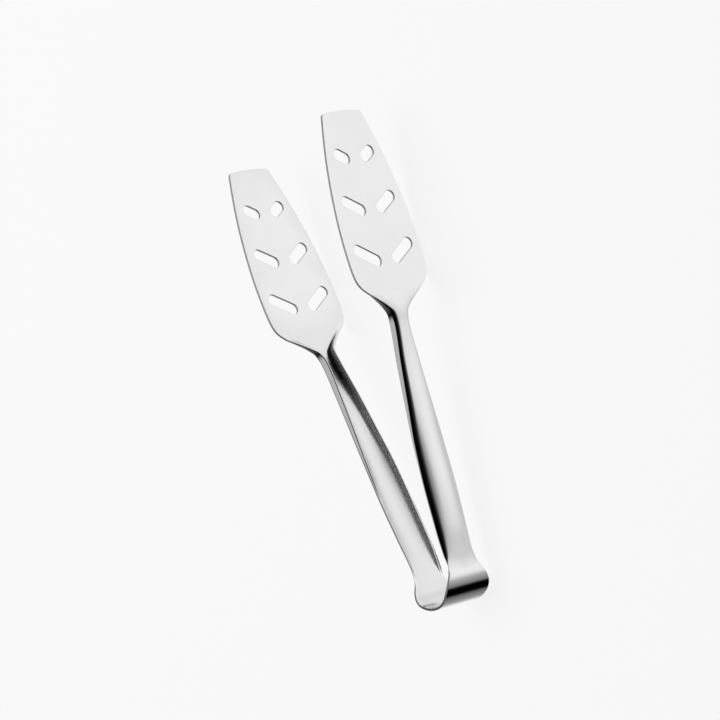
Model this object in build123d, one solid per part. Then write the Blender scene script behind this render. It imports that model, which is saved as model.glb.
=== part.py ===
"""Buffet tongs: two pressed steel arms with slotted blades, joined by a U-shaped spring bow.

Millimetres. The tongs lie on their long edges: +X is the way that the blades open,
+Y runs from the bow to the blade tips and +Z is up. The origin is under the middle.
Each arm is made flat-side outward with its length along Y and is tilted to rest at the end.
"""
from build123d import *
from math import atan2, cos, degrees, hypot, pi, sin
import os

# Sheet
SHEET = 1.2
EDGE_RADIUS = 0.15

# Lengths along the tongs, from the back of the bow
LENGTH = 240.0
BLADE_LENGTH = 106.0
SHOULDER_LENGTH = 16.0

# Spring bow
BOW_RADIUS = 13.4
BOW_WIDTH = 30.0
BOW_ROOT_WIDTH = 22.2

# Half gaps from the middle plane to the outer faces
NECK_OUT = 30.5
BLADE_OUT = 32.6
TIP_OUT = 38.2

# Widths
HANDLE_WIDTH = 20.2
NECK_WIDTH = 9.3
BLADE_WIDTH = 49.0
TIP_WIDTH = 25.6

# Pressed channel, with a crowned outer face
FLANGE_HEIGHT = 5.7
CORNER_RADIUS = 3.4
NECK_CORNER_RADIUS = 2.2
CROWN_RADIUS = 19.0
RUNOUT = 0.4

# Blade tip
TIP_CORNER_RADIUS = 2.2
TIP_ARCH = 0.9

# Slots, in pairs that make a V pointing at the handle
SLOT_WIDTH = 5.8
SLOT_ANGLE = 31.0
SLOT_PITCH = 24.8
SLOT_TIP_MARGIN = 22.6
TIP_SLOT_LENGTH = 10.2
MIDDLE_SLOT_LENGTH = 15.3
BASE_SLOT_LENGTH = 17.7
TIP_SLOT_OFFSET = 8.5
MIDDLE_SLOT_OFFSET = 10.7
BASE_SLOT_OFFSET = 11.7

OVERRUN = 5.0
STATION_COUNT = 28

NECK_Y = LENGTH - BLADE_LENGTH
SHOULDER_Y = NECK_Y + SHOULDER_LENGTH
FLAT_SHARE = 0.75
FLAT_Y = NECK_Y + FLAT_SHARE * SHOULDER_LENGTH


def handle_y(share):
    return BOW_RADIUS + share * (NECK_Y - BOW_RADIUS)


def handle_out(share):
    return BOW_RADIUS + share * (NECK_OUT - BOW_RADIUS)


def shoulder_y(share):
    return NECK_Y + share * SHOULDER_LENGTH


def shoulder_out(share):
    return NECK_OUT + share * (BLADE_OUT - NECK_OUT)


def blade_out(y):
    """The flat blade's outer face, which leans outward from the shoulder to the tip."""
    return BLADE_OUT + (TIP_OUT - BLADE_OUT) * (y - FLAT_Y) / (LENGTH - FLAT_Y)


BLADE_LEAN = atan2(TIP_OUT - BLADE_OUT, LENGTH - FLAT_Y)
FLAT_LENGTH = hypot(LENGTH - SHOULDER_Y, TIP_OUT - blade_out(SHOULDER_Y))

# Rows along the handle: place, way outward, width, flange height, corner radius, crown
HANDLE_SHARES = [
    (0.08, 0.095, 0.934, 0.46, 0.6, 0.5),
    (0.18, 0.24, 0.97, 0.786, 1.0, 0.9),
    (0.35, 0.4, 1.0, 0.88, 1.1, 1.0),
    (0.52, 0.53, 0.932, 0.94, 1.0, 1.0),
    (0.69, 0.67, 0.766, 0.955, 0.85, 0.9),
    (0.85, 0.817, 0.606, 0.97, 0.7, 0.8),
]

# Rows along the shoulder: place, way outward, width, flange height, corner radius, crown
SHOULDER_SHARES = [
    (0.3, 0.5, 0.22, 0.9, 0.95, 0.6),
    (0.53, 0.8, 0.35, 0.68, 0.7, 0.3),
    (FLAT_SHARE, 1.0, 0.53, 0.45, 0.4, 0.1),
]
NECK_CROWN_SHARE = 0.8
SHOULDER_WIDTH_SHARE = 0.755
RISE_SHARE, RISE_OUT_SHARE, RISE_WIDTH_SHARE = 0.03, 0.01, 0.975

# Rows along the blade's side, from the shoulder to the tip: place, width
BLADE_SHARES = [
    (0.045, 0.918),
    (0.11, 0.986),
    (0.19, 1.0),
    (0.35, 0.983),
    (0.52, 0.918),
    (0.69, 0.814),
    (0.85, 0.678),
]

# The bow's side, from the middle of its back to its root: place, widening
BOW_SHARES = [(0.0, 0.69), (0.3, 0.9), (0.63, 0.64), (1.0, 0.0)]


def arm_rows():
    """Rows along the arm: place, outer face, width, flange height, corner radius, crown's curvature."""
    strip = (SHEET, EDGE_RADIUS, 0)
    rows = [
        (BOW_RADIUS, BOW_RADIUS, BOW_ROOT_WIDTH, *strip),
        (handle_y(RISE_SHARE), handle_out(RISE_OUT_SHARE), RISE_WIDTH_SHARE * HANDLE_WIDTH, *strip),
    ]
    for place, way, width, flange, corner, crown in HANDLE_SHARES:
        rows.append((handle_y(place), handle_out(way), width * HANDLE_WIDTH, flange * FLANGE_HEIGHT,
                     corner * CORNER_RADIUS, crown / CROWN_RADIUS))
    rows.append((NECK_Y, NECK_OUT, NECK_WIDTH, FLANGE_HEIGHT, NECK_CORNER_RADIUS,
                 NECK_CROWN_SHARE / CROWN_RADIUS))
    for place, way, width, flange, corner, crown in SHOULDER_SHARES:
        rows.append((shoulder_y(place), shoulder_out(way), width * BLADE_WIDTH, flange * FLANGE_HEIGHT,
                     corner * NECK_CORNER_RADIUS, crown / CROWN_RADIUS))
    rows.append((SHOULDER_Y, blade_out(SHOULDER_Y), SHOULDER_WIDTH_SHARE * BLADE_WIDTH, *strip))
    return rows


ARM_ROWS = arm_rows()


def slope_at(i, column):
    """The slope of a smooth curve through one column that never overshoots its rows."""
    steps = [(b[column] - a[column]) / (b[0] - a[0]) for a, b in zip(ARM_ROWS, ARM_ROWS[1:])]
    if i in (0, len(steps)):
        return steps[min(i, len(steps) - 1)]
    before, after = steps[i - 1], steps[i]
    return 2 * before * after / (before + after) if before * after > 0 else 0


def value_at(y, column):
    """One column of the arm's rows at any place along the arm, by cubic pieces."""
    i = max(k for k in range(len(ARM_ROWS) - 1) if ARM_ROWS[k][0] <= y)
    start, end = ARM_ROWS[i], ARM_ROWS[i + 1]
    span = end[0] - start[0]
    t = (y - start[0]) / span
    return (
        start[column] * (1 + 2 * t) * (1 - t) ** 2
        + span * slope_at(i, column) * t * (1 - t) ** 2
        + end[column] * (3 - 2 * t) * t ** 2
        - span * slope_at(i + 1, column) * t ** 2 * (1 - t)
    )


def station(y):
    out, width, flange, corner, crown = (value_at(y, column) for column in range(1, 6))
    return y, out, width / 2, flange, corner, crown


def arm_stations():
    """Places along the channel, closer together where it flares at the bow and the blade."""
    run = SHOULDER_Y - BOW_RADIUS
    shares = [(1 - cos(pi * i / STATION_COUNT)) / 2 for i in range(STATION_COUNT + 1)]
    return [station(BOW_RADIUS + run * share) for share in shares]


STATIONS = arm_stations()


def across(y, out, lean=0):
    """A plane across the arm: its origin is on the outer face, and its Y points outward."""
    return Plane(origin=(out, y, 0), x_dir=(0, 0, 1), z_dir=(sin(lean), cos(lean), 0))


def section(plane, half_width, top, bottom, corner, crown):
    """A closed profile across the arm: a crowned face that runs smoothly into rounded corners."""
    inset = half_width - corner
    if crown > 0:
        reach = 1 / crown - corner
        corner_top = top - 1 / crown + (reach ** 2 - inset ** 2) ** 0.5
        tilt = atan2(inset, corner_top - top + 1 / crown)
        centre = (0, top - 1 / crown)
        face = CenterArc(centre, 1 / crown, 90 - degrees(tilt), 2 * degrees(tilt))
    else:
        corner_top, tilt = top - corner, 0
        face = Line((inset, top), (-inset, top))
    turn = 90 - degrees(tilt)
    outline = (
        Line((half_width, bottom), (half_width, corner_top))
        + CenterArc((inset, corner_top), corner, 0, turn)
        + face
        + CenterArc((-inset, corner_top), corner, 180 - turn, turn)
        + Line((-half_width, corner_top), (-half_width, bottom))
        + Line((-half_width, bottom), (half_width, bottom))
    )
    return plane * make_face(outline)


def wall_across(index):
    """The sheet's thickness as a cut across the arm sees it, where its edge runs at a slant."""
    before, after = STATIONS[index - 1], STATIONS[index + 1]
    slope = (after[2] - before[2]) / (after[0] - before[0])
    return SHEET * hypot(1, slope)


def channel_form():
    faces = []
    for y, out, half, high, corner, crown in STATIONS:
        lean = BLADE_LEAN if y == SHOULDER_Y else 0
        faces.append(section(across(y, out, lean), half, 0, -high, corner, crown))
    return loft(faces, ruled=True)


def channel_hollow():
    """The space inside the pressed channel, from the bow to the blade's shoulders."""
    flanged = [i for i, row in enumerate(STATIONS) if row[3] > SHEET + EDGE_RADIUS]
    faces = []
    for i in flanged:
        y, out, half, _, corner, crown = STATIONS[i]
        floor = -SHEET - (RUNOUT if i in (flanged[0], flanged[-1]) else 0)
        inner_corner = max(corner - SHEET, EDGE_RADIUS)
        below = -FLANGE_HEIGHT - OVERRUN
        inner_crown = crown / (1 - crown * SHEET)
        inner_half = half - wall_across(i)
        faces.append(section(across(y, out), inner_half, floor, below, inner_corner, inner_crown))
    return loft(faces, ruled=True)


def slot_pair(y, offset, length):
    right = Pos(offset, y) * SlotOverall(length, SLOT_WIDTH, rotation=SLOT_ANGLE)
    left = Pos(-offset, y) * SlotOverall(length, SLOT_WIDTH, rotation=-SLOT_ANGLE)
    return right + left


def slots():
    top = FLAT_LENGTH - SLOT_TIP_MARGIN
    return (
        slot_pair(top, TIP_SLOT_OFFSET, TIP_SLOT_LENGTH)
        + slot_pair(top - SLOT_PITCH, MIDDLE_SLOT_OFFSET, MIDDLE_SLOT_LENGTH)
        + slot_pair(top - 2 * SLOT_PITCH, BASE_SLOT_OFFSET, BASE_SLOT_LENGTH)
    )


def blade_outline():
    """The flat blade seen from its face: shoulders at zero, arched tip, rounded corners, slots."""
    half_shoulder = STATIONS[-1][2]
    run = FLAT_LENGTH - TIP_ARCH
    points = [(half_shoulder, 0)]
    points += [(width * BLADE_WIDTH / 2, place * run) for place, width in BLADE_SHARES]
    points += [(TIP_WIDTH / 2, run)]
    side = Spline(*points)
    arch = ThreePointArc(points[-1], (0, FLAT_LENGTH), (-TIP_WIDTH / 2, run))
    base = Line((-half_shoulder, 0), (half_shoulder, 0))
    outline = make_face(side + arch + mirror(side, Plane.YZ) + base)
    return fillet(outline.vertices().sort_by(Axis.Y)[-2:], TIP_CORNER_RADIUS) - slots()


def blade():
    """The slotted outline on the plane of the outer face, thickened inward."""
    lean = Plane(
        origin=(blade_out(SHOULDER_Y), SHOULDER_Y, 0),
        x_dir=(0, 0, -1),
        z_dir=(cos(BLADE_LEAN), -sin(BLADE_LEAN), 0),
    )
    return extrude(lean * blade_outline(), -SHEET)


def near_arm():
    return channel_form() - channel_hollow() + blade()


def spring_bow():
    """A half ring of sheet, wider than the arms, trimmed to its flared outline."""
    centre = Pos(0, BOW_RADIUS)
    ring = centre * Circle(BOW_RADIUS) - centre * Circle(BOW_RADIUS - SHEET)
    back = Pos(0, BOW_RADIUS / 2) * Rectangle(2 * BOW_RADIUS, BOW_RADIUS)
    strip = extrude(ring & back, BOW_WIDTH, both=True)
    half_root = BOW_ROOT_WIDTH / 2
    flare = BOW_WIDTH / 2 - half_root
    points = [(half_root + widening * flare, place * BOW_RADIUS) for place, widening in BOW_SHARES]
    side, half_back = Spline(*points), points[0][0]
    outline = (
        side
        + Line((half_root, BOW_RADIUS), (-half_root, BOW_RADIUS))
        + mirror(side, Plane.YZ)
        + Line((-half_back, 0), (half_back, 0))
    )
    plane = Plane(origin=(0, 0, 0), x_dir=(0, 0, 1), z_dir=(-1, 0, 0))
    return strip & extrude(plane * make_face(outline), BOW_RADIUS, both=True)


def build():
    arm = near_arm()
    return {"spring_bow": spring_bow(), "near_arm": arm, "far_arm": mirror(arm, Plane.YZ)}


def lowest(shape, angle):
    return (Rot(X=angle) * shape).bounding_box().min.Z


def resting_angle(bow, arm):
    """The tilt that brings the bow and the blades' lower edges down to one level."""
    run = SHOULDER_Y - BOW_RADIUS
    angle = 0
    for _ in range(4):
        angle += degrees(atan2(lowest(bow, angle) - lowest(arm, angle), run))
    return angle


def lay_down(nodes):
    """Rests the tongs on their long edges, with the origin under the middle."""
    angle = resting_angle(nodes["spring_bow"], nodes["near_arm"])
    tipped = {name: Rot(X=angle) * shape for name, shape in nodes.items()}
    boxes = [shape.bounding_box() for shape in tipped.values()]
    front, back = min(box.min.Y for box in boxes), max(box.max.Y for box in boxes)
    place = Pos(0, -(front + back) / 2, -min(box.min.Z for box in boxes))
    return {name: place * shape for name, shape in tipped.items()}


if __name__ == "__main__":
    os.makedirs("parts", exist_ok=True)
    for name, shape in lay_down(build()).items():
        export_step(shape, f"parts/{name}.step")
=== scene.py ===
import bpy
import numpy as np
from math import asin, atan2, cos, hypot, pi, radians, sin, sqrt, tan
from mathutils import Matrix, Vector
from mathutils.geometry import delaunay_2d_cdt


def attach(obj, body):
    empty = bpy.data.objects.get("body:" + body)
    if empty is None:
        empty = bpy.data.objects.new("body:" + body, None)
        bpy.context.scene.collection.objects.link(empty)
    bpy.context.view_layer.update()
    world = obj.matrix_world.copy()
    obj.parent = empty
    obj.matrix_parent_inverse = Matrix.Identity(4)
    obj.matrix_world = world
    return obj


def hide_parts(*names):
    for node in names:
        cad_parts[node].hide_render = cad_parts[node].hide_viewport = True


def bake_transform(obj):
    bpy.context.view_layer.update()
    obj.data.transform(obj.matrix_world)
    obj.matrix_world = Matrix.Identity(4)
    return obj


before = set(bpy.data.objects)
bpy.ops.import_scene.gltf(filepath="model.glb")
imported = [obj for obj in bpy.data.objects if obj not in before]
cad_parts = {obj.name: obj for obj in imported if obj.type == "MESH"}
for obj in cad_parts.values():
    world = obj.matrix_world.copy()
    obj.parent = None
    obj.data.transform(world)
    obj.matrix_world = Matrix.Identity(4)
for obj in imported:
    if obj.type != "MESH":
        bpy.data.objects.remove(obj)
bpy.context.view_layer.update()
scene = bpy.context.scene

# Sizes in millimetres, the same as the CAD model's
SHEET, EDGE = 1.2, 0.15
LENGTH, BLADE_LENGTH, SHOULDER_LENGTH = 240.0, 106.0, 16.0
BOW_RADIUS, BOW_WIDTH, BOW_ROOT_WIDTH = 13.4, 30.0, 22.2
NECK_OUT, BLADE_OUT, TIP_OUT = 30.5, 32.6, 38.2
HANDLE_WIDTH, NECK_WIDTH, BLADE_WIDTH, TIP_WIDTH = 20.2, 9.3, 49.0, 25.6
FLANGE_HEIGHT, CORNER_RADIUS, NECK_CORNER_RADIUS, CROWN_RADIUS = 5.7, 3.4, 2.2, 19.0
TIP_CORNER_RADIUS, TIP_ARCH = 2.2, 0.9
SLOT_WIDTH, SLOT_ANGLE, SLOT_PITCH, SLOT_TIP_MARGIN = 5.8, 31.0, 24.8, 22.6
SLOTS = [(0, 8.5, 10.2), (1, 10.7, 15.3), (2, 11.7, 17.7)]

# Where the CAD model lies: its tilt about X, then its shift
TILT = radians(3.5177091138)
SHIFT = np.array([0.0, -119.472757247, 14.3892372651])

NECK_Y = LENGTH - BLADE_LENGTH
SHOULDER_Y = NECK_Y + SHOULDER_LENGTH
FLAT_SHARE = 0.75
FLAT_Y = NECK_Y + FLAT_SHARE * SHOULDER_LENGTH


def clamped(value):
    return min(max(value, 0.0), 1.0)


def handle_y(share):
    return BOW_RADIUS + share * (NECK_Y - BOW_RADIUS)


def handle_out(share):
    return BOW_RADIUS + share * (NECK_OUT - BOW_RADIUS)


def shoulder_y(share):
    return NECK_Y + share * SHOULDER_LENGTH


def shoulder_out(share):
    return NECK_OUT + share * (BLADE_OUT - NECK_OUT)


def blade_out(y):
    return BLADE_OUT + (TIP_OUT - BLADE_OUT) * (y - FLAT_Y) / (LENGTH - FLAT_Y)


LEAN = atan2(TIP_OUT - BLADE_OUT, LENGTH - FLAT_Y)
FLAT_LENGTH = hypot(LENGTH - SHOULDER_Y, TIP_OUT - blade_out(SHOULDER_Y))

# Shares of each row: place, outer face, width, flange height, corner radius, crown
HANDLE_SHARES = [
    (0.08, 0.089, 0.934, 0.46, 0.6, 0.7),
    (0.18, 0.227, 0.97, 0.786, 1.0, 0.9),
    (0.35, 0.4, 1.0, 0.88, 1.1, 1.0),
    (0.52, 0.53, 0.932, 0.94, 1.0, 1.0),
    (0.69, 0.67, 0.766, 0.955, 0.85, 0.9),
    (0.85, 0.817, 0.606, 0.97, 0.7, 0.8),
]
SHOULDER_SHARES = [
    (0.3, 0.5, 0.22, 0.9, 0.95, 0.6),
    (0.53, 0.8, 0.35, 0.68, 0.7, 0.3),
    (FLAT_SHARE, 1.0, 0.53, 0.45, 0.4, 0.1),
]
RISE_SHARE, RISE_OUT_SHARE, RISE_WIDTH_SHARE, RISE_CROWN_SHARE = 0.03, 0.024, 0.975, 0.4
NECK_CROWN_SHARE, SHOULDER_WIDTH_SHARE = 0.8, 0.755

# Place along the blade and width there, then place from the bow's back and widening there
BLADE_SHARES = [
    (0.045, 0.918), (0.11, 0.986), (0.19, 1.0), (0.35, 0.983),
    (0.52, 0.918), (0.69, 0.814), (0.85, 0.678),
]
BOW_SHARES = [(0.0, 0.69), (0.3, 0.9), (0.63, 0.64), (1.0, 0.0)]


def arm_rows():
    """Rows along the arm: place, outer face, width, flange height, corner radius, crown's curvature."""
    rise = (handle_y(RISE_SHARE), handle_out(RISE_OUT_SHARE), RISE_WIDTH_SHARE * HANDLE_WIDTH)
    rows = [
        (BOW_RADIUS, BOW_RADIUS, BOW_ROOT_WIDTH, SHEET, EDGE, 0.0),
        (*rise, SHEET, EDGE, RISE_CROWN_SHARE / CROWN_RADIUS),
    ]
    for place, out, width, high, corner, crown in HANDLE_SHARES:
        sizes = (width * HANDLE_WIDTH, high * FLANGE_HEIGHT, corner * CORNER_RADIUS, crown / CROWN_RADIUS)
        rows.append((handle_y(place), handle_out(out), *sizes))
    neck_crown = NECK_CROWN_SHARE / CROWN_RADIUS
    rows.append((NECK_Y, NECK_OUT, NECK_WIDTH, FLANGE_HEIGHT, NECK_CORNER_RADIUS, neck_crown))
    for place, out, width, high, corner, crown in SHOULDER_SHARES:
        sizes = (width * BLADE_WIDTH, high * FLANGE_HEIGHT, corner * NECK_CORNER_RADIUS, crown / CROWN_RADIUS)
        rows.append((shoulder_y(place), shoulder_out(out), *sizes))
    rows.append((SHOULDER_Y, blade_out(SHOULDER_Y), SHOULDER_WIDTH_SHARE * BLADE_WIDTH, SHEET, EDGE, 0.0))
    return rows


ROWS = arm_rows()
OUT, WIDTH, HEIGHT, CORNER, CROWN = 1, 2, 3, 4, 5
HALF_SHOULDER = ROWS[-1][WIDTH] / 2


def slope_at(i, column):
    """A column's slope at row i, without overshoot between rows."""
    steps = [(b[column] - a[column]) / (b[0] - a[0]) for a, b in zip(ROWS, ROWS[1:])]
    if i == 0:
        return 0.0 if column == OUT else steps[0]
    if i == len(steps):
        return steps[-1] if column in (OUT, WIDTH) else 0.0
    before, after = steps[i - 1], steps[i]
    return 2 * before * after / (before + after) if before * after > 0 else 0


def value_at(y, column):
    """A column's value at a place along the arm, on a smooth curve through the rows."""
    i = max([k for k in range(len(ROWS) - 1) if ROWS[k][0] <= y] or [0])
    start, end = ROWS[i], ROWS[i + 1]
    span = end[0] - start[0]
    t = (y - start[0]) / span
    return (
        start[column] * (1 + 2 * t) * (1 - t) ** 2
        + span * slope_at(i, column) * t * (1 - t) ** 2
        + end[column] * (3 - 2 * t) * t ** 2
        - span * slope_at(i + 1, column) * t ** 2 * (1 - t)
    )


# Steps of the mesh across and along the pieces
HALF_FACE_STEPS, CORNER_STEPS, FLANGE_STEPS, RIM_STEPS = 9, 12, 3, 4
ARM_STEPS, BOW_STEPS, BOW_EDGE_STEPS = 110, 192, 120
SIDE_STEPS, TIP_FILLET_STEPS, ARCH_POINTS, SLOT_END_STEPS = 64, 10, 8, 16

# A flange's outer and inner rim are rounded more than the plain strip's edge
ROUNDED, ROLLED = 0.42, 0.72
# The flange's height above the sheet over which the strip turns into a channel
STRIP_FADE = 0.8
# Corners below this radius are worn, and the width beside an edge over which wear fades
SHARP_CORNER, WEAR_INSET = 0.6, 0.5
# How worn a channel's rim is, and how satin the inner face is
RIM_WEAR, SATIN = 0.4, 0.2
# How dark the painted shade is on the flange's heel, at its rim and added at its foot
HEEL_SHADE_RIM, HEEL_SHADE_FOOT = 0.35, 0.5
# Where the painted shade on the heel starts before the neck, and over what lengths it comes and goes
HEEL_SHADE_START, HEEL_SHADE_RISE, HEEL_SHADE_FALL = 30, 22, 6
# The most of the channel's depth that its inner corner may take
CORNER_ROOM = 0.95
# Length over which a slope or a guide row is taken
NEARBY = 0.4
# Faces with a smaller crown than this are flat
FLATTEST_CROWN = 1e-5
# The least distance between the blade's side points and the tip's rounded corner
FILLET_GAP = 0.2


def half_face(half, corner, crown):
    """Half of a crowned face and its corner, as (inset, depth) from the side inward."""
    inset = half - corner
    if crown > FLATTEST_CROWN:
        radius = 1 / crown
        tilt = asin(inset / (radius - corner))
        middle = radius - (radius - corner) * cos(tilt)
    else:
        radius, tilt, middle = None, 0.0, corner
    turns = [tilt + (pi / 2 - tilt) * k / CORNER_STEPS for k in range(CORNER_STEPS + 1)]
    corner_points = [(half - inset - corner * sin(t), middle - corner * cos(t)) for t in turns][::-1]
    reach = half - corner_points[-1][0] - WEAR_INSET
    places = [reach * (1 - k / HALF_FACE_STEPS) for k in range(HALF_FACE_STEPS + 1)]
    face = [(half - z, radius - sqrt(radius ** 2 - z ** 2) if radius else 0.0) for z in places]
    return corner_points, face


def section(half, high, corner, crown, wall, heel_shade=0.0):
    """A closed loop across the piece from the middle of its outer face: (z, depth, *marks)."""
    strip = clamped(1 - (high - SHEET) / STRIP_FADE)
    channel = 1 - strip
    rim = EDGE + (ROUNDED - EDGE) * channel
    lip = min(ROLLED, max(high - SHEET, 0) / 2)
    points = []

    # painted_shade is painted shade: colour darkened where shadow and dark reflections would fall
    def add(inset, depth, wear=0.0, cut=0.0, inner=0.0, painted_shade=0.0):
        points.append((half - inset, depth, wear, cut, inner, painted_shade))

    # outer face, corner, the flange's side and its rim
    corner_points, face = half_face(half, corner, crown)
    for inset, depth in face[::-1]:
        add(inset, depth)
    edge_wear = 1.0 if corner < SHARP_CORNER else 0.0
    for k, (inset, depth) in enumerate(corner_points[::-1]):
        add(inset, depth, edge_wear * sin(pi * k / CORNER_STEPS), strip * k / CORNER_STEPS)
    top = corner_points[0][1]
    low = max(high - rim, top)
    for k in range(1, FLANGE_STEPS + 1):
        add(0.0, top + (low - top) * k / FLANGE_STEPS, cut=strip)
    rim_wear = RIM_WEAR + (1 - RIM_WEAR) * strip
    turns = [0.5 * pi * k / RIM_STEPS for k in range(1, RIM_STEPS + 1)]
    for k, turn in enumerate(turns, 1):
        cut = strip * (1 - k / RIM_STEPS)
        add(rim * (1 - cos(turn)), low + (high - low) * sin(turn), rim_wear, cut)
    add((rim + wall - lip) / 2, high)
    add(wall - lip, high)

    # the rolled lip, the flange's inside, inner corner and inner face
    for k, turn in enumerate(turns, 1):
        inner = channel * k / RIM_STEPS
        add(wall - lip + lip * sin(turn), high - lip + lip * cos(turn), inner=inner)
    inner_crown = crown / (1 - crown * SHEET)
    inner_corner, inner_face = half_face(half - wall, max(corner - SHEET, EDGE), inner_crown)
    room = max(high - lip - SHEET, 0.0)
    squeeze = min(1.0, CORNER_ROOM * room / inner_corner[0][1])
    foot = SHEET + squeeze * inner_corner[0][1]
    # painted shade: the flange's inside and inner corner near the neck are darkened in colour, standing in
    # for corner shadow and dark reflections
    for k in range(1, FLANGE_STEPS + 1):
        depth = high - lip + (foot - high + lip) * k / FLANGE_STEPS
        add(wall, depth, inner=channel, painted_shade=heel_shade * (HEEL_SHADE_RIM + HEEL_SHADE_FOOT * k / FLANGE_STEPS))
    for inset, depth in inner_corner[1:]:
        add(wall + inset, SHEET + squeeze * depth, inner=max(channel, SATIN), painted_shade=heel_shade)
    for k, (inset, depth) in enumerate(inner_face):
        add(wall + inset, SHEET + squeeze * depth, inner=SATIN, painted_shade=0.0 if k else heel_shade)
    left = [(-z, *rest) for z, *rest in points[-2:0:-1]]
    return points + left


def tilted(p):
    """Points or directions turned by the tilt at which the model lies."""
    c, s = cos(TILT), sin(TILT)
    return np.stack([p[:, 0], p[:, 1] * c - p[:, 2] * s, p[:, 1] * s + p[:, 2] * c], 1)


def placed(points):
    """Points of the lying model in metres, from points of the upright one in millimetres."""
    return (tilted(np.asarray(points, float)) + SHIFT) / 1000


def cleaned(faces, back, mirrored):
    """Faces on merged points, without repeated corners or collapsed faces."""
    out = []
    for face in faces:
        corners = []
        for v in (int(back[v]) for v in face):
            if not corners or corners[-1] != v:
                corners.append(v)
        if len(corners) > 1 and corners[0] == corners[-1]:
            corners.pop()
        if len(set(corners)) == len(corners) and len(corners) > 2:
            out.append(corners[::-1] if mirrored else corners)
    return out


def point_normals(points, faces):
    """Normals at points, each the mean of its faces' by their areas."""
    normals = np.zeros((len(points), 3))
    for face in faces:
        p = points[face]
        n = np.zeros(3)
        for i in range(1, len(face) - 1):
            n += np.cross(p[i] - p[0], p[i + 1] - p[0])
        for v in face:
            normals[v] += n
    lengths = np.linalg.norm(normals, axis=1)
    return normals / np.maximum(lengths, LEAST_LENGTH)[:, None]


# Surface marks: rubbed edges, sheared edges, satin insides, and painted shade (colour darkened where shadow
# and dark reflections would fall)
MARKS = ("wear", "cut", "inner", "painted_shade")
# Points this near to one another merge, and no normal is divided by less than this
MERGE_DISTANCE, LEAST_LENGTH = 1e-4, 1e-12


class Surface:
    """Points, faces and marks of one piece, with guide rows that only shape its normals."""

    def __init__(self):
        self.points, self.marks, self.faces, self.guides = [], [], [], []

    def loop(self, points, marks):
        first = len(self.points)
        self.points += [tuple(p) for p in points]
        self.marks += [tuple(m) for m in marks]
        return list(range(first, first + len(points)))

    def bridge(self, a, b, closed=True, guide=False):
        n = len(a)
        target = self.guides if guide else self.faces
        for i in range(n if closed else n - 1):
            j = (i + 1) % n
            target.append((a[i], b[i], b[j], a[j]))

    def mesh(self, name, mirrored=False, keep=None):
        """An object of this surface, smooth and with its marks as attributes."""
        points = np.array(self.points, float)
        if mirrored:
            points = points * np.array([-1.0, 1.0, 1.0])
        key = np.round(points / MERGE_DISTANCE).astype(np.int64)
        _, first, back = np.unique(key, axis=0, return_index=True, return_inverse=True)
        back = back.reshape(-1)
        merged = points[first]
        faces = cleaned(self.faces, back, mirrored)
        normals = point_normals(merged, faces + cleaned(self.guides, back, mirrored))
        if keep is not None:
            faces = [f for f in faces if keep(merged[f].mean(0))]
        used = sorted({v for f in faces for v in f})
        index = {v: i for i, v in enumerate(used)}
        mesh = bpy.data.meshes.new(name)
        mesh.from_pydata(placed(merged[used]).tolist(), [], [[index[v] for v in f] for f in faces])
        mesh.update()
        for polygon in mesh.polygons:
            polygon.use_smooth = True
        marks = np.zeros((len(first), len(MARKS)))
        np.maximum.at(marks, back, np.array(self.marks, float))
        for k, mark in enumerate(MARKS):
            attribute = mesh.attributes.new(mark, "FLOAT", "POINT")
            attribute.data.foreach_set("value", marks[used, k].astype(np.float32))
        mesh.normals_split_custom_set_from_vertices(tilted(normals[used]).tolist())
        piece = bpy.data.objects.new(name, mesh)
        scene.collection.objects.link(piece)
        return piece


def natural_spline(points, steps):
    """A smooth curve through points, with its parameter along their chords."""
    p = np.array(points, float)
    t = np.concatenate([[0], np.cumsum(np.linalg.norm(np.diff(p, axis=0), axis=1))])
    n, h = len(p), np.diff(t)
    A, b = np.eye(n), np.zeros((n, 2))
    for i in range(1, n - 1):
        A[i, i - 1], A[i, i], A[i, i + 1] = h[i - 1], 2 * (h[i - 1] + h[i]), h[i]
        b[i] = 6 * ((p[i + 1] - p[i]) / h[i] - (p[i] - p[i - 1]) / h[i - 1])
    m = np.linalg.solve(A, b)
    out = []
    for s in np.linspace(0, t[-1], steps + 1):
        i = min(max(int(np.searchsorted(t, s, side="right")) - 1, 0), n - 2)
        u, v = t[i + 1] - s, s - t[i]
        out.append(
            (m[i] * u ** 3 + m[i + 1] * v ** 3) / (6 * h[i])
            + (p[i] / h[i] - m[i] * h[i] / 6) * u
            + (p[i + 1] / h[i] - m[i + 1] * h[i] / 6) * v
        )
    return np.array(out)


def arm_profile(y):
    """The section at a place along the arm, its wall as thick as a cut across a slanting side."""
    width, high, corner, crown = (value_at(y, column) for column in (WIDTH, HEIGHT, CORNER, CROWN))
    before, after = max(y - NEARBY, ROWS[0][0]), min(y + NEARBY, SHOULDER_Y)
    slope = (value_at(after, WIDTH) - value_at(before, WIDTH)) / 2 / (after - before)
    # how much painted shade the heel gets at this place along the arm
    heel_shade = clamped((y - NECK_Y + HEEL_SHADE_START) / HEEL_SHADE_RISE) * clamped((SHOULDER_Y - y) / HEEL_SHADE_FALL)
    return section(width / 2, high, max(corner, EDGE), max(crown, 0.0), SHEET * hypot(1, slope), heel_shade)


def arm_row(y, lean=0.0):
    out = value_at(y, OUT)
    profile = arm_profile(y)
    points = [(out - d * cos(lean), y + d * sin(lean), z) for z, d, *_ in profile]
    return points, [tuple(m) for _, _, *m in profile]


def blade_point(across, along, depth):
    """A point of the blade from its place across and along the leaning outer face, and its depth."""
    return (
        blade_out(SHOULDER_Y) + along * sin(LEAN) - depth * cos(LEAN),
        SHOULDER_Y + along * cos(LEAN) + depth * sin(LEAN),
        across,
    )


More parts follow.
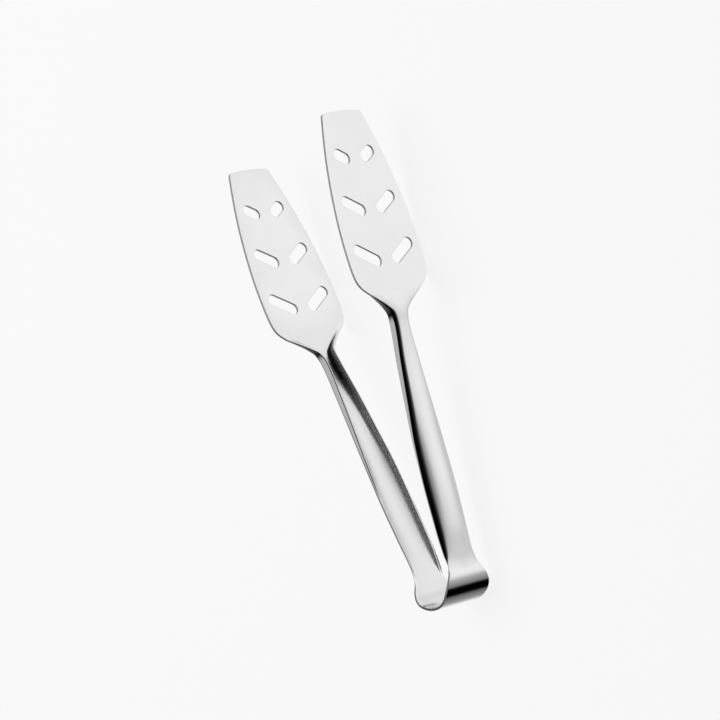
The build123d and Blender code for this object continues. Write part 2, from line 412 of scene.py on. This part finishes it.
def blade_edge():
    """The right half of the blade's outline from the shoulder to the tip's middle, as (across, along)."""
    run = FLAT_LENGTH - TIP_ARCH
    points = [(HALF_SHOULDER, 0.0)] + [(w * BLADE_WIDTH / 2, share * run) for share, w in BLADE_SHARES]
    points.append((TIP_WIDTH / 2, run))
    side = natural_spline(points, SIDE_STEPS)
    radius = ((TIP_WIDTH / 2) ** 2 + TIP_ARCH ** 2) / (2 * TIP_ARCH)
    centre = FLAT_LENGTH - radius

    # round the corner between the side and the tip's arch
    corner = np.array(points[-1])
    inward = (side[-1] - side[-2]) / np.linalg.norm(side[-1] - side[-2])
    onward = np.array([-(corner[1] - centre), corner[0]]) / radius
    turn = np.arccos(np.clip(inward @ onward, -1, 1))
    reach = TIP_CORNER_RADIUS * tan(turn / 2)
    start = corner - inward * reach
    middle = start + np.array([-inward[1], inward[0]]) * TIP_CORNER_RADIUS
    kept = [p for p in side if (corner - p) @ inward > reach + FILLET_GAP]
    first = atan2(*(start - middle)[::-1])
    angles = [first + turn * k / TIP_FILLET_STEPS for k in range(TIP_FILLET_STEPS + 1)]
    fillet = [middle + TIP_CORNER_RADIUS * np.array([cos(a), sin(a)]) for a in angles]

    arch_start = atan2(fillet[-1][1] - centre, fillet[-1][0])
    angles = np.linspace(arch_start, pi / 2, ARCH_POINTS)[1:]
    arch = [np.array([radius * cos(a), centre + radius * sin(a)]) for a in angles]
    return np.array(kept + fillet + arch)


def offset_in(loop, amount, fixed_ends=False):
    """The same loop moved inward by amount; it runs anticlockwise."""
    p = np.asarray(loop, float)
    before, after = np.roll(p, 1, axis=0), np.roll(p, -1, axis=0)
    if fixed_ends:
        before[0], after[-1] = p[0], p[-1]
    d = after - before
    d = d / np.linalg.norm(d, axis=1)[:, None]
    inward = np.stack([-d[:, 1], d[:, 0]], 1)
    if fixed_ends:
        inward[0], inward[-1] = (-1, 0), (1, 0)
    return p + inward * np.reshape(amount, (-1, 1))


def slot_loop(centre, angle, length):
    """A round-ended slot's outline, anticlockwise."""
    run = (length - SLOT_WIDTH) / 2
    axis = np.array([cos(angle), sin(angle)])
    loop = []
    for end in (1, -1):
        base = angle if end > 0 else angle + pi
        for k in range(SLOT_END_STEPS + 1):
            b = base - pi / 2 + pi * k / SLOT_END_STEPS
            loop.append(centre + axis * run * end + SLOT_WIDTH / 2 * np.array([cos(b), sin(b)]))
    return np.array(loop)


def slot_loops():
    top = FLAT_LENGTH - SLOT_TIP_MARGIN
    return [
        slot_loop(np.array([offset * mirror, top - row * SLOT_PITCH]), radians(SLOT_ANGLE) * mirror, length)
        for row, offset, length in SLOTS for mirror in (1, -1)
    ]


def inside(point, loops):
    """Whether a point lies in the outline and in none of its holes."""
    x, y = point
    odd = False
    for loop in loops:
        a, b = loop, np.roll(loop, -1, axis=0)
        crossing = (a[:, 1] > y) != (b[:, 1] > y)
        with np.errstate(divide="ignore", invalid="ignore"):
            at = a[:, 0] + (y - a[:, 1]) * (b[:, 0] - a[:, 0]) / (b[:, 1] - a[:, 1])
        if np.count_nonzero(crossing & (x < at)) % 2:
            odd = not odd
    return odd


def fill(surface, loops, flat, facing):
    """Triangles between an outline and its holes, from lists of point indices and their flat places."""
    coords, edges, owner = [], [], []
    for indices, places in zip(loops, flat):
        first = len(coords)
        coords += [Vector((float(x), float(y))) for x, y in places]
        owner += indices
        edges += [(first + i, first + (i + 1) % len(indices)) for i in range(len(indices))]
    verts, _, faces, origin, _, _ = delaunay_2d_cdt(coords, edges, [], 0, 1e-7)
    for face in faces:
        middle = sum((verts[v] for v in face), Vector((0, 0))) / len(face)
        if inside((middle.x, middle.y), flat):
            ids = [owner[origin[v][0]] for v in face]
            a, b, c = (verts[v] for v in face[:3])
            turn = (b - a).cross(c - a)
            surface.faces.append(tuple(ids if (turn > 0) == facing else ids[::-1]))


def handle_and_shoulder(surface):
    """The channel from the bow to the blade; gives its last row of points."""
    shares = [(1 - cos(pi * i / ARM_STEPS)) / 2 for i in range(ARM_STEPS + 1)]
    rows = []
    for y in (BOW_RADIUS + (SHOULDER_Y - BOW_RADIUS) * share for share in shares):
        lean = LEAN * clamped((y - FLAT_Y) / (SHOULDER_Y - FLAT_Y))
        rows.append(surface.loop(*arm_row(y, lean)))
    for a, b in zip(rows, rows[1:]):
        surface.bridge(b, a)
    # a guide row on the bow's side, so that the normals run on into it
    points, marks = arm_row(BOW_RADIUS)
    ghost = surface.loop([(x, y - NEARBY, z) for x, y, z in points], marks)
    surface.bridge(rows[0], ghost, guide=True)
    return rows[-1]


# Length of the blade over which its edge narrows to the plain strip's edge
EDGE_EASE = 6


def blade_rings(surface, profile, last, start, end):
    """Rings round the blade's edge, from the outer face to the inner: (point indices, places, z)."""
    edge = blade_edge()
    whole = np.concatenate([edge, (edge * np.array([-1, 1]))[::-1][1:]])
    ease = np.clip(whole[:, 1] / EDGE_EASE, 0, 1)
    rings = []
    for k in range(start, end + 1):
        z, depth, *marks = profile[k]
        inset = HALF_SHOULDER - z
        narrowed = inset + (min(inset, EDGE + WEAR_INSET) - inset) * ease
        moved = offset_in(whole, narrowed, fixed_ends=True)[1:-1]
        ids = surface.loop([blade_point(x, y, depth) for x, y in moved], [marks] * len(moved))
        rings.append(([last[k]] + ids + [last[(len(last) - k) % len(last)]], moved, z))
    for (a, *_), (b, *_) in zip(rings, rings[1:]):
        surface.bridge(b, a, closed=False)
    return rings


# A slot's wall from the outer face to the inner, with rounded edges: inset, depth and marks
MID_EDGE = 0.3 * EDGE
SLOT_WALL = [
    (EDGE, 0.0, (0.5, 0, 0, 0)),
    (MID_EDGE, MID_EDGE, (1, 0.5, 0, 0)),
    (0.0, EDGE, (0.3, 1, 0, 0)),
    (0.0, SHEET - EDGE, (0.3, 1, 0, 0)),
    (MID_EDGE, SHEET - MID_EDGE, (1, 0.5, 0, 0)),
    (EDGE, SHEET, (0.5, 0, 0, 0)),
]


def arm_surface():
    """The near arm; the blade grows out of the channel's last row."""
    surface = Surface()
    last = handle_and_shoulder(surface)
    profile = arm_profile(SHOULDER_Y)
    count = len(last)
    start, end = HALF_FACE_STEPS, count // 2 - HALF_FACE_STEPS
    rings = blade_rings(surface, profile, last, start, end)

    # the outer and the inner face, each with six holes
    slots = slot_loops()
    plain = (0,) * len(MARKS)
    outer_base = list(range(count - start + 1, count)) + list(range(0, start))
    inner_base = list(range(count - end - 1, end, -1))
    holes = []
    outer, inner = (rings[0], outer_base, 0.0, False), (rings[-1], inner_base, SHEET, True)
    for (ids, moved, z), base, depth, facing in (outer, inner):
        places = np.concatenate([[(z, 0.0)], moved, [(-z, 0.0)], [(profile[i][0], 0.0) for i in base]])
        loops, flat = [ids + [last[i] for i in base]], [places]
        for slot in slots:
            wide = offset_in(slot, -(EDGE + WEAR_INSET))
            loops.append(surface.loop([blade_point(x, y, depth) for x, y in wide], [plain] * len(wide)))
            flat.append(wide)
        fill(surface, loops, flat, facing)
        holes.append(loops[1:])

    for slot, ring, final in zip(slots, *holes):
        for inset, depth, marks in SLOT_WALL:
            moved = offset_in(slot, -inset)
            ids = surface.loop([blade_point(x, y, depth) for x, y in moved], [marks] * len(moved))
            surface.bridge(ring, ids)
            ring = ids
        surface.bridge(ring, final)
    return surface


def bow_edge():
    """The strip's flared edge as (half the width, distance from the bow's back)."""
    half_root = BOW_ROOT_WIDTH / 2
    flare = BOW_WIDTH / 2 - half_root
    points = [(half_root + wide * flare, place * BOW_RADIUS) for place, wide in BOW_SHARES]
    return natural_spline(points, BOW_EDGE_STEPS)


BOW_EDGE = bow_edge()
# How much painted shade, standing in for a dark reflection, the strip's sheared edge gets at the bow's back
BOW_EDGE_PAINTED_SHADE = 0.75


def bow_half_width(y):
    """Half the strip's width at a distance from the back, from the flared outline."""
    i = int(np.searchsorted(BOW_EDGE[:, 1], y))
    i = min(max(i, 1), len(BOW_EDGE) - 1)
    (w0, y0), (w1, y1) = BOW_EDGE[i - 1], BOW_EDGE[i]
    return w0 + (w1 - w0) * (y - y0) / (y1 - y0)


def bow_row(angle):
    """The strip's section at an angle round the bow, 0 at the near arm and pi at the far arm."""
    half = bow_half_width(BOW_RADIUS * (1 - sin(angle)))
    points, marks = [], []
    for z, depth, wear, cut, inner, _ in section(half, SHEET, EDGE, 0.0, SHEET):
        r = BOW_RADIUS - depth
        points.append((r * cos(angle), BOW_RADIUS - r * sin(angle), z))
        # painted shade: the sheared edge is darkened towards the bow's back, in place of a dark reflection
        marks.append((wear, cut, inner, BOW_EDGE_PAINTED_SHADE * cut * sin(angle)))
    return points, marks


def bow_surface():
    surface = Surface()
    rows = [surface.loop(*bow_row(pi * k / BOW_STEPS)) for k in range(BOW_STEPS + 1)]
    for a, b in zip(rows, rows[1:]):
        surface.bridge(a, b)
    # guide rows on the arms' sides, so that the normals run on into them
    ghosts = []
    for angle in (0, pi):
        points, marks = bow_row(angle)
        ghosts.append(surface.loop([(x, y + NEARBY, z) for x, y, z in points], marks))
    surface.bridge(ghosts[0], rows[0], guide=True)
    surface.bridge(rows[-1], ghosts[1], guide=True)
    return surface


def calculated(tree, operation, a, b):
    """A maths node on two values, each a number or a socket."""
    node = tree.nodes.new("ShaderNodeMath")
    node.operation = operation
    for socket, value in zip(node.inputs, (a, b)):
        if isinstance(value, (int, float)):
            socket.default_value = value
        else:
            tree.links.new(value, socket)
    return node.outputs[0]


def mapped(tree, value, low, high, start=0.0, end=1.0, kind="LINEAR"):
    """A value's range from low to high taken to the range from start to end."""
    node = tree.nodes.new("ShaderNodeMapRange")
    node.interpolation_type = kind
    ranges = {"From Min": low, "From Max": high, "To Min": start, "To Max": end}
    for socket, number in ranges.items():
        node.inputs[socket].default_value = number
    tree.links.new(value, node.inputs["Value"])
    return node.outputs["Result"]


def blended(tree, factor, a, b):
    """Colour a, which may be a socket, turning into colour b."""
    node = tree.nodes.new("ShaderNodeMix")
    node.data_type = "RGBA"
    if isinstance(a, tuple):
        node.inputs["A"].default_value = (*a, 1)
    else:
        tree.links.new(a, node.inputs["A"])
    node.inputs["B"].default_value = (*b, 1)
    tree.links.new(factor, node.inputs["Factor"])
    return node.outputs["Result"]


def ramped(tree, value, low, high, stops):
    """A grey for each value, between stops of (value, grey)."""
    node = tree.nodes.new("ShaderNodeValToRGB")
    ramp = node.color_ramp
    while len(ramp.elements) < len(stops):
        ramp.elements.new(1.0)
    for element, (place, grey) in zip(ramp.elements, sorted(stops)):
        element.position = (place - low) / (high - low)
        element.color = (grey, grey, grey, 1)
    tree.links.new(mapped(tree, value, low, high), node.inputs["Fac"])
    return node.outputs["Color"]


def noise(tree, place, scale, stretch=(1.0, 1.0, 1.0), detail=4.0):
    mapping = tree.nodes.new("ShaderNodeMapping")
    mapping.inputs["Scale"].default_value = stretch
    texture = tree.nodes.new("ShaderNodeTexNoise")
    texture.inputs["Scale"].default_value = scale
    texture.inputs["Detail"].default_value = detail
    tree.links.new(place, mapping.inputs["Vector"])
    tree.links.new(mapping.outputs["Vector"], texture.inputs["Vector"])
    return texture.outputs["Fac"]


STEEL_DARK, STEEL_PALE = (0.85, 0.85, 0.855), (0.89, 0.888, 0.885)
# Each mark's tone, a later one covering those before it, and what a mark adds to the roughness
MARK_TONES = {
    "inner": (0.93, 0.93, 0.94),
    "cut": (0.62, 0.62, 0.63),
    # painted shade: near black, standing in for shadow and dark reflections on the heel and the bow's rim
    "painted_shade": (0.04, 0.04, 0.042),
    "wear": (0.80, 0.80, 0.80),
}
MARK_ROUGHNESS = {"cut": 0.35, "inner": 0.42, "wear": 0.06}
# How metallic the satin inside is, and what a cut edge adds to that
INNER_METAL, CUT_METAL = 0.66, -0.4
# Scales of the steel's clouds, hairlines and grain, and how long the hairlines are drawn
CLOUD_SCALE, HAIRLINE_SCALE, GRAIN_SCALE = 45.0, 900.0, 2600.0
HAIRLINE_STRETCH = (1.0, 0.05, 1.0)
# The part of each noise's range that is used, and the roughness that it gives
CLOUD_RANGE, CLOUD_ROUGHNESS = (0.3, 0.7), (0.10, 0.14)
HAIRLINE_RANGE, HAIRLINE_ROUGHNESS = (0.5, 0.75), (0.0, 0.05)
BUMP_STRENGTH, BUMP_DISTANCE = 0.045, 0.00002


def steel(name):
    """Polished steel with hairlines along the part, duller where it is marked, and near black where shade is
    painted on.
    """
    material = bpy.data.materials.new(name)
    material.use_nodes = True
    tree = material.node_tree
    nodes, links = tree.nodes, tree.links
    shader = nodes["Principled BSDF"]
    place = nodes.new("ShaderNodeTexCoord").outputs["Object"]
    cloudy = noise(tree, place, CLOUD_SCALE)
    hairlines = noise(tree, place, HAIRLINE_SCALE, HAIRLINE_STRETCH, detail=6.0)
    grain = noise(tree, place, GRAIN_SCALE, detail=2.0)
    marks = {}
    for mark in MARKS:
        attribute = nodes.new("ShaderNodeAttribute")
        attribute.attribute_name = mark
        marks[mark] = attribute.outputs["Fac"]

    inner_metal = mapped(tree, marks["inner"], 0.0, 1.0, 1.0, INNER_METAL)
    cut_metal = mapped(tree, marks["cut"], 0.0, 1.0, 0.0, CUT_METAL)
    links.new(calculated(tree, "ADD", inner_metal, cut_metal), shader.inputs["Metallic"])

    tone = blended(tree, mapped(tree, cloudy, *CLOUD_RANGE), STEEL_DARK, STEEL_PALE)
    for mark, colour in MARK_TONES.items():
        tone = blended(tree, marks[mark], tone, colour)
    links.new(tone, shader.inputs["Base Color"])

    broad = mapped(tree, cloudy, *CLOUD_RANGE, *CLOUD_ROUGHNESS)
    fine = mapped(tree, hairlines, *HAIRLINE_RANGE, *HAIRLINE_ROUGHNESS)
    rough = calculated(tree, "ADD", broad, fine)
    for mark, more in MARK_ROUGHNESS.items():
        rough = calculated(tree, "ADD", rough, mapped(tree, marks[mark], 0.0, 1.0, 0.0, more))
    links.new(rough, shader.inputs["Roughness"])

    bump = nodes.new("ShaderNodeBump")
    bump.inputs["Strength"].default_value = BUMP_STRENGTH
    bump.inputs["Distance"].default_value = BUMP_DISTANCE
    links.new(calculated(tree, "ADD", hairlines, grain), bump.inputs["Height"])
    links.new(bump.outputs["Normal"], shader.inputs["Normal"])
    return material


finish = steel("polished_steel")

arm = arm_surface()
near = arm.mesh("near_arm_steel")
far = arm.mesh("far_arm_steel", mirrored=True)
bow = bow_surface()
bow_near = bow.mesh("bow_near_half", keep=lambda p: p[0] > 0)
bow_far = bow.mesh("bow_far_half", keep=lambda p: p[0] < 0)
for piece, node in ((near, "near_arm"), (far, "far_arm"), (bow_near, "spring_bow"), (bow_far, "spring_bow")):
    piece.data.materials.append(finish)
    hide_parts(node)
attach(near, "near")
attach(far, "far")
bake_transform(bow_near)
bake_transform(bow_far)

# The background's colour, and half the floor's side in metres
PAPER = (0.975, 0.975, 0.975)
FLOOR_REACH = 3
# The floor's own grey and roughness, and how much of it the background's glow covers
FLOOR_GREY, FLOOR_ROUGHNESS, GLOW_SHARE = 0.9, 0.9, 0.9

# What polished steel sees by height: the pale sweep below, fading to a dark room above
SWEEP = [
    (-1.0, 0.72), (-0.9, 0.84), (-0.8, 0.95), (-0.7, 1.0), (-0.6, 1.0),
    (-0.42, 0.94), (-0.3, 0.86), (-0.2, 0.7), (-0.1, 0.48), (0.0, 0.28),
    (0.12, 0.17), (0.24, 0.11), (0.4, 0.06), (0.6, 0.01), (1.0, 0.0005),
]
# The same round the horizon in degrees, 0 being +X: one dark side, next to a paler one
ROUND = [
    (-180, 0.95), (-155, 0.75), (-140, 0.42), (-125, 0.3), (-106, 0.2),
    (-98, 0.14), (-92, 0.06), (-86, 0.0), (-53, 0.0), (-48, 0.16),
    (-42, 0.25), (-32, 0.34), (-20, 0.48), (-8, 0.82), (0, 0.95),
    (12, 0.96), (31, 0.97), (52, 0.82), (80, 0.86), (180, 0.95),
]
# Near straight down the sides no longer count, and the sweep has this grey
DOWN_FROM, DOWN_TO, DOWN_GREY = -0.86, -0.97, 0.85
# A dim softbox above the far side: its direction, its grey, and where its soft edge starts and ends
SOFTBOX, SOFTBOX_GREY = Vector((-0.72, 0.19, 0.66)).normalized(), 0.5
SOFTBOX_EDGE, SOFTBOX_CORE = 0.90, 0.985


def paper_material():
    """Pale paper that cameras see nearly white, with the object's shadow on it."""
    material = bpy.data.materials.new("floor_paper")
    material.use_nodes = True
    tree = material.node_tree
    nodes, links = tree.nodes, tree.links
    shader = nodes["Principled BSDF"]
    shader.inputs["Base Color"].default_value = (FLOOR_GREY, FLOOR_GREY, FLOOR_GREY, 1)
    shader.inputs["Roughness"].default_value = FLOOR_ROUGHNESS
    path = nodes.new("ShaderNodeLightPath")
    seen = calculated(tree, "MAXIMUM", path.outputs["Is Camera Ray"], path.outputs["Is Glossy Ray"])
    seen = calculated(tree, "MAXIMUM", seen, path.outputs["Is Transmission Ray"])
    glow = nodes.new("ShaderNodeEmission")
    glow.inputs["Color"].default_value = (*PAPER, 1)
    links.new(seen, glow.inputs["Strength"])
    mix = nodes.new("ShaderNodeMixShader")
    links.new(calculated(tree, "MULTIPLY", seen, GLOW_SHARE), mix.inputs[0])
    links.new(shader.outputs[0], mix.inputs[1])
    links.new(glow.outputs[0], mix.inputs[2])
    links.new(mix.outputs[0], nodes["Material Output"].inputs["Surface"])
    return material


def sweep_grey(tree):
    """The grey that steel sees in each direction, apart from the softbox; also gives the direction."""
    direction = tree.nodes.new("ShaderNodeTexCoord").outputs["Generated"]
    parts = tree.nodes.new("ShaderNodeSeparateXYZ")
    tree.links.new(direction, parts.inputs[0])
    height = parts.outputs["Z"]
    bearing = calculated(tree, "ARCTAN2", parts.outputs["Y"], parts.outputs["X"])
    around = ramped(tree, calculated(tree, "MULTIPLY", bearing, 180 / pi), -180, 180, ROUND)
    straight_down = mapped(tree, height, DOWN_FROM, DOWN_TO, kind="SMOOTHSTEP")
    sides = calculated(tree, "MULTIPLY", around, calculated(tree, "SUBTRACT", 1.0, straight_down))
    around = calculated(tree, "ADD", sides, calculated(tree, "MULTIPLY", straight_down, DOWN_GREY))
    return calculated(tree, "MULTIPLY", ramped(tree, height, -1, 1, SWEEP), around), direction


def studio_world():
    world = bpy.data.worlds.new("studio")
    scene.world = world
    world.use_nodes = True
    tree = world.node_tree
    sweep, direction = sweep_grey(tree)
    toward = tree.nodes.new("ShaderNodeVectorMath")
    toward.operation = "DOT_PRODUCT"
    toward.inputs[1].default_value = SOFTBOX
    tree.links.new(direction, toward.inputs[0])
    lit = mapped(tree, toward.outputs["Value"], SOFTBOX_EDGE, SOFTBOX_CORE, kind="SMOOTHSTEP")
    box = calculated(tree, "MULTIPLY", lit, SOFTBOX_GREY)
    rays = tree.nodes.new("ShaderNodeLightPath").outputs
    backdrop_ray = calculated(tree, "MAXIMUM", rays["Is Camera Ray"], rays["Is Transmission Ray"])
    shade = blended(tree, backdrop_ray, calculated(tree, "ADD", sweep, box), PAPER)
    tree.links.new(shade, tree.nodes["Background"].inputs["Color"])


def studio_lamp():
    lamp = bpy.data.lights.new("soft_top", "AREA")
    lamp.shape = "DISK"
    lamp.size = 1.6
    lamp.energy = 26.0
    top = bpy.data.objects.new("soft_top", lamp)
    top.location = (-0.5, 0.5, 1.6)
    top.rotation_euler = (-top.location).to_track_quat("-Z", "Y").to_euler()
    scene.collection.objects.link(top)
    top.visible_glossy = False


def studio_camera():
    """The photograph's camera, from its place and its axes."""
    camera = bpy.data.cameras.new("camera")
    camera.lens = 155.689605
    camera.sensor_width = 36.0
    camera.sensor_fit = "HORIZONTAL"
    eye = bpy.data.objects.new("camera", camera)
    right = Vector((0.6174012, -0.2865978, -0.7325827))
    down = Vector((-0.3362802, -0.9380467, 0.0835704))
    forward = Vector((-0.7111479, 0.1947566, -0.6755284))
    turn = Matrix((right, -down, -forward)).transposed()
    eye.matrix_world = Matrix.Translation((1.0667292, -0.2861094, 1.0421284)) @ turn.to_4x4()
    scene.collection.objects.link(eye)
    scene.camera = eye


floor_mesh = bpy.data.meshes.new("floor")
floor_corners = [(x * FLOOR_REACH, y * FLOOR_REACH, 0) for x, y in ((-1, -1), (1, -1), (1, 1), (-1, 1))]
floor_mesh.from_pydata(floor_corners, [], [(0, 1, 2, 3)])
floor = bpy.data.objects.new("floor", floor_mesh)
scene.collection.objects.link(floor)
floor.data.materials.append(paper_material())
floor.visible_glossy = False

studio_world()
studio_lamp()
studio_camera()

scene.view_settings.view_transform = "Standard"
